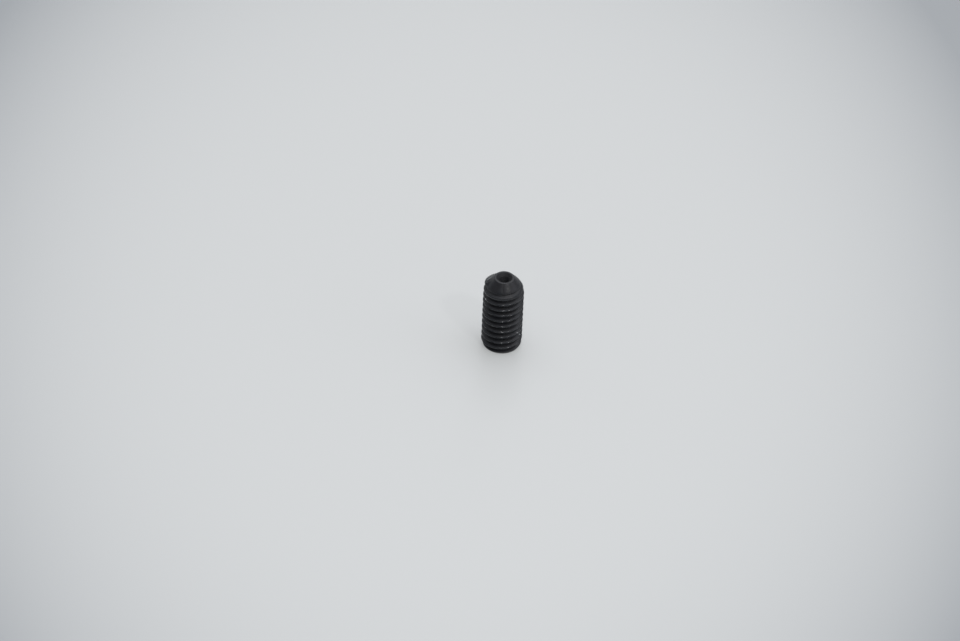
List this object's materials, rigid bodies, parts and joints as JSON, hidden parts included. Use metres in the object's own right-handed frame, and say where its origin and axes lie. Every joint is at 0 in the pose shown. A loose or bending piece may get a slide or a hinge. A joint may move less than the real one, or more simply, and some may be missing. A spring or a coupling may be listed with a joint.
{
  "type": "socket set screw",
  "caption": "Headless threaded set screw with a cup point at one end and a hex socket at the other, in black oxide steel.",
  "frame": {"origin": "centre of the socket end's flat face, which the screw stands on", "axes": "+Z along the screw's axis, from the socket end up to the cup point; a flat of the hex socket faces +Y"},
  "size_m": [0.006, 0.0058, 0.012],
  "materials": {
    "black_oxide_steel": "hardened alloy steel with a thin black oxide skin, lightly oiled"
  },
  "bodies": {
    "root": {"set_screw": "black_oxide_steel"}
  },
  "joints": []
}
